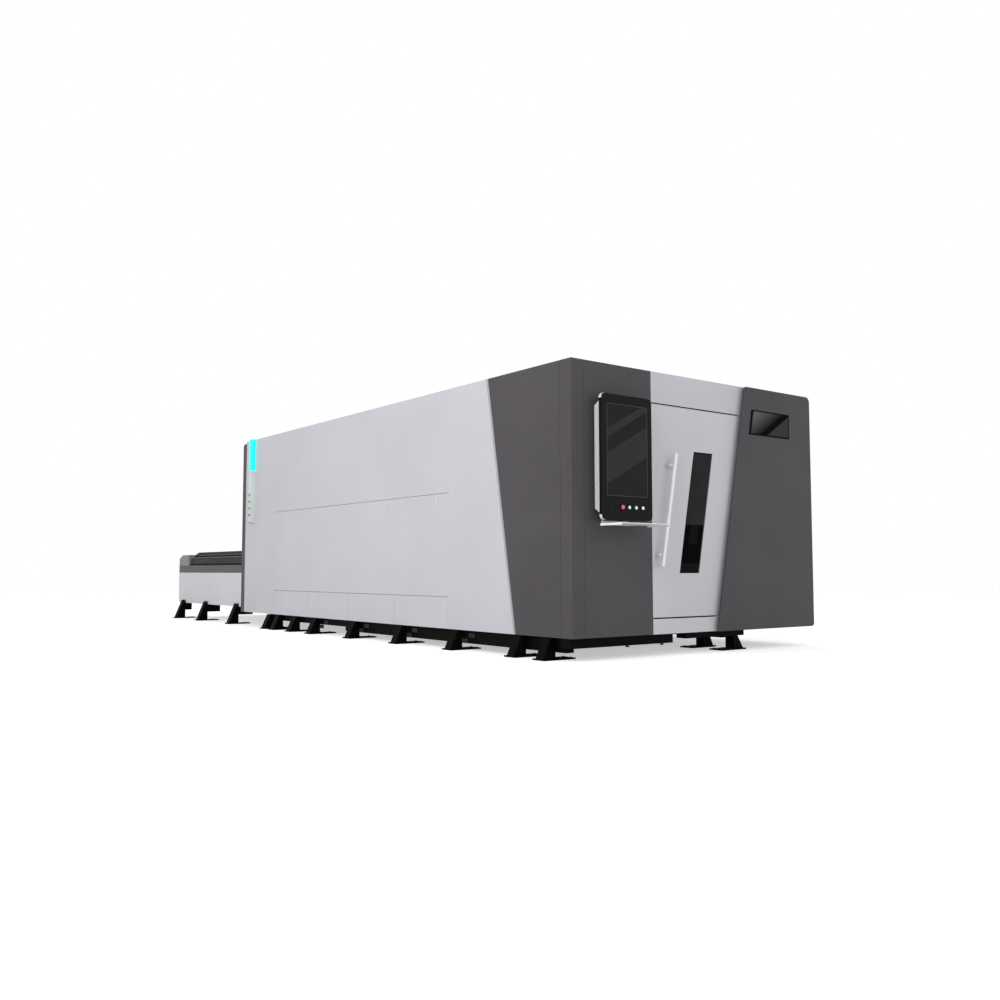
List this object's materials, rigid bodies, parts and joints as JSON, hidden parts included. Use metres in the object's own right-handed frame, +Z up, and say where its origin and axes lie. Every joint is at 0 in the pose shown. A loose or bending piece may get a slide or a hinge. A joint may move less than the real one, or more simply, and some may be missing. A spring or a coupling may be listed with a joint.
{
  "type": "fiber laser cutting machine",
  "caption": "Enclosed fiber laser sheet cutter with a sliding front door, upright touch console, gantry head and a rear shuttle table of toothed slats",
  "frame": {"origin": "on the floor, in the middle of the overall footprint", "axes": "X to the operator's right along the front face, Y from the front face towards the exchange table, Z up"},
  "size_m": [2.949, 8.993, 2.25],
  "materials": {
    "light_paint": "smooth light grey powder coat",
    "dark_paint": "fine textured dark grey powder coat",
    "black_paint": "black enamel on the feet and underframe",
    "bed_paint": "grey machine enamel",
    "table_paint": "mid grey enamel",
    "pallet_paint": "dark grey enamel with worn edges",
    "ground_steel": "ground and oiled",
    "slat_steel": "raw laser-cut sheet, darkened by heat",
    "cast_alloy": "bead blasted",
    "handle_paint": "gloss near-white coat",
    "tinted_glass": "dark laser safety glass",
    "screen_glass": "black display cover",
    "bezel_plastic": "satin black moulding",
    "red_plastic": "translucent red cap",
    "white_plastic": "translucent white cap",
    "green_plastic": "translucent green cap",
    "cyan_lens": "lit cyan diffuser",
    "motor_black": "black servo housing"
  },
  "bodies": {
    "machine": {"bed_frame": "bed_paint", "console_bezel": "bezel_plastic", "console_housing": "light_paint", "console_screen": "screen_glass", "control_cabinet": "light_paint", "door_rail": "ground_steel", "enclosure_frame": "bed_paint", "exchange_drive": "motor_black", "front_corner_post": "dark_paint", "front_fascia": "light_paint", "front_left_panel": "dark_paint", "front_right_panel": "dark_paint", "front_sill": "light_paint", "gear_racks": "ground_steel", "guide_rails": "ground_steel", "high_window_frame": "bezel_plastic", "high_window_glass": "tinted_glass", "keyboard_tray": "light_paint", "laser_source": "dark_paint", "left_front_panel": "dark_paint", "left_side_panel": "light_paint", "machine_feet": "black_paint", "pallet_rails": "pallet_paint", "rear_portal": "dark_paint", "right_side_panel": "light_paint", "roof_panel": "light_paint", "side_service_cover": "light_paint", "strip_housing": "light_paint", "strip_lens": "cyan_lens", "table_end_cap": "light_paint", "table_feet": "black_paint", "table_frame": "table_paint", "table_side_panels": "light_paint", "underframe": "black_paint"},
    "sliding_door": {"door_panel": "light_paint", "door_window": "tinted_glass", "door_handle": "handle_paint", "door_hangers": "ground_steel"},
    "stop_button": {"stop_button": "red_plastic"},
    "start_button": {"start_button": "white_plastic"},
    "pause_button": {"pause_button": "white_plastic"},
    "reset_button": {"reset_button": "white_plastic"},
    "light_stop_button": {"light_stop_button": "red_plastic"},
    "load_button": {"load_button": "green_plastic"},
    "swap_button": {"swap_button": "green_plastic"},
    "lift_button": {"lift_button": "green_plastic"},
    "gantry": {"gantry_beam": "cast_alloy", "gantry_trucks": "motor_black", "beam_rails": "ground_steel"},
    "head_carriage": {"carriage": "cast_alloy"},
    "head": {"head_slide": "cast_alloy", "cutting_head": "motor_black"},
    "upper_pallet": {"upper_pallet_frame": "pallet_paint", "upper_pallet_slats": "slat_steel"},
    "lower_pallet": {"lower_pallet_frame": "pallet_paint", "lower_pallet_slats": "slat_steel"},
    "slag_drawer_1": {"slag_drawer_1": "light_paint"},
    "slag_drawer_2": {"slag_drawer_2": "light_paint"},
    "slag_drawer_3": {"slag_drawer_3": "light_paint"},
    "slag_drawer_4": {"slag_drawer_4": "light_paint"}
  },
  "joints": [
    {"name": "door_slide", "type": "slide", "parent": "machine", "child": "sliding_door", "axis": [1, 0, 0], "range_m": [0, 0.7]},
    {"name": "stop_press", "type": "slide", "parent": "machine", "child": "stop_button", "axis": [0, 1, 0], "range_m": [0, 0.004], "stiffness_N_per_m": 400, "springref_m": -0.004},
    {"name": "start_press", "type": "slide", "parent": "machine", "child": "start_button", "axis": [0, 1, 0], "range_m": [0, 0.004], "stiffness_N_per_m": 400, "springref_m": -0.004},
    {"name": "pause_press", "type": "slide", "parent": "machine", "child": "pause_button", "axis": [0, 1, 0], "range_m": [0, 0.004], "stiffness_N_per_m": 400, "springref_m": -0.004},
    {"name": "reset_press", "type": "slide", "parent": "machine", "child": "reset_button", "axis": [0, 1, 0], "range_m": [0, 0.004], "stiffness_N_per_m": 400, "springref_m": -0.004},
    {"name": "light_stop_press", "type": "slide", "parent": "machine", "child": "light_stop_button", "axis": [1, 0, 0], "range_m": [0, 0.003], "stiffness_N_per_m": 400, "springref_m": -0.004},
    {"name": "load_press", "type": "slide", "parent": "machine", "child": "load_button", "axis": [1, 0, 0], "range_m": [0, 0.003], "stiffness_N_per_m": 400, "springref_m": -0.004},
    {"name": "swap_press", "type": "slide", "parent": "machine", "child": "swap_button", "axis": [1, 0, 0], "range_m": [0, 0.003], "stiffness_N_per_m": 400, "springref_m": -0.004},
    {"name": "lift_press", "type": "slide", "parent": "machine", "child": "lift_button", "axis": [1, 0, 0], "range_m": [0, 0.003], "stiffness_N_per_m": 400, "springref_m": -0.004},
    {"name": "gantry_slide", "type": "slide", "parent": "machine", "child": "gantry", "axis": [0, 1, 0], "range_m": [0, 3]},
    {"name": "carriage_slide", "type": "slide", "parent": "gantry", "child": "head_carriage", "axis": [1, 0, 0], "range_m": [0, 1.35]},
    {"name": "head_lift", "type": "slide", "parent": "head_carriage", "child": "head", "axis": [0, 0, 1], "range_m": [-0.24, 0]},
    {"name": "upper_pallet_slide", "type": "slide", "parent": "machine", "child": "upper_pallet", "axis": [0, -1, 0], "range_m": [0, 3.913]},
    {"name": "lower_pallet_slide", "type": "slide", "parent": "machine", "child": "lower_pallet", "axis": [0, 1, 0], "range_m": [0, 3.913]},
    {"name": "slag_drawer_1_slide", "type": "slide", "parent": "machine", "child": "slag_drawer_1", "axis": [-1, 0, 0], "range_m": [0, 0.6]},
    {"name": "slag_drawer_2_slide", "type": "slide", "parent": "machine", "child": "slag_drawer_2", "axis": [-1, 0, 0], "range_m": [0, 0.6]},
    {"name": "slag_drawer_3_slide", "type": "slide", "parent": "machine", "child": "slag_drawer_3", "axis": [-1, 0, 0], "range_m": [0, 0.6]},
    {"name": "slag_drawer_4_slide", "type": "slide", "parent": "machine", "child": "slag_drawer_4", "axis": [-1, 0, 0], "range_m": [0, 0.6]}
  ],
  "couplings": [
    {"joint": "lower_pallet_slide", "follows": "upper_pallet_slide", "ratio": 1}
  ]
}
